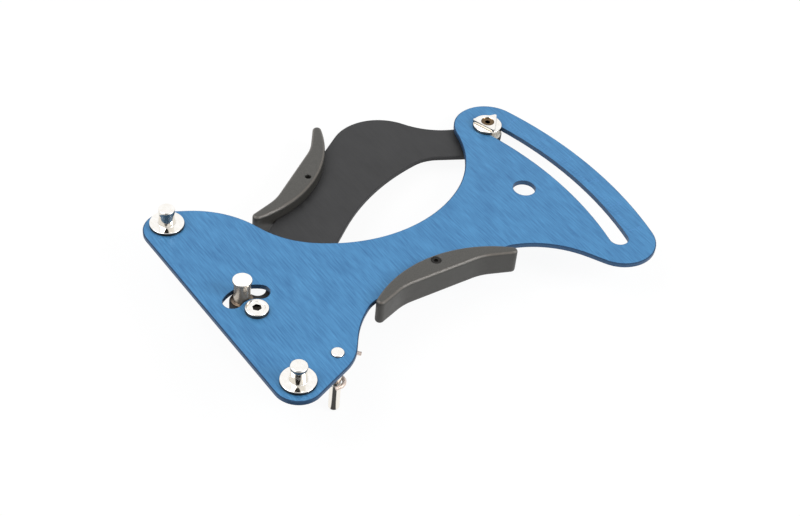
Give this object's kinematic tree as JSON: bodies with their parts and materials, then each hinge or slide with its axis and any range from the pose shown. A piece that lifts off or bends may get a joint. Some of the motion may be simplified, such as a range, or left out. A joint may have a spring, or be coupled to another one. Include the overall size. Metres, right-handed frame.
{
  "type": "spoke tension meter",
  "caption": "Plier-shaped wheel spoke tension meter: face plate with flanged spoke posts and an arc slot, sprung lever with a third post and pointer, moulded grips.",
  "frame": {"origin": "midway between the two fixed spoke posts, on the face plate's top face", "axes": "+X along the tool from the posts to the pointer, +Y from the lower to the upper fixed post, +Z out of the plate's face"},
  "size_m": [0.1702, 0.124, 0.0349],
  "materials": {
    "blue_plate": "brushed, blue anodised",
    "dark_plate": "matt, black anodised",
    "grip_plastic": "satin dark grey",
    "bright_steel": "nickel plated steel",
    "spring_steel": "drawn spring wire",
    "dark_screw": "blackened",
    "bush_brass": "turned",
    "washer_plastic": "natural"
  },
  "bodies": {
    "frame": {"face_plate": "blue_plate", "upper_fixed_post": "bright_steel", "lower_fixed_post": "bright_steel", "spring_post": "bright_steel", "pivot_screw": "bright_steel", "pivot_barrel": "bright_steel", "upper_thrust_washer": "washer_plastic", "lower_grip": "grip_plastic", "lower_grip_screw": "dark_screw", "torsion_spring": "spring_steel"},
    "lever": {"lever_plate": "dark_plate", "pivot_bush": "bush_brass", "lower_thrust_washer": "washer_plastic", "moving_post": "bright_steel", "spring_anchor_pin": "bright_steel", "upper_grip": "grip_plastic", "upper_grip_screw": "dark_screw", "guide_bush": "bright_steel", "slide_washer": "washer_plastic", "pointer": "bright_steel", "pointer_screw": "bright_steel", "pointer_nut": "bright_steel"}
  },
  "joints": [
    {"name": "lever_pivot", "type": "hinge", "parent": "frame", "child": "lever", "pos_m": [0.00541, -0.00945, -0.0038], "axis": [0, 0, 1], "range_deg": [-32, 0], "stiffness_Nm_per_rad": 1.2, "springref_deg": 34.38, "deforming": ["torsion_spring"]}
  ]
}
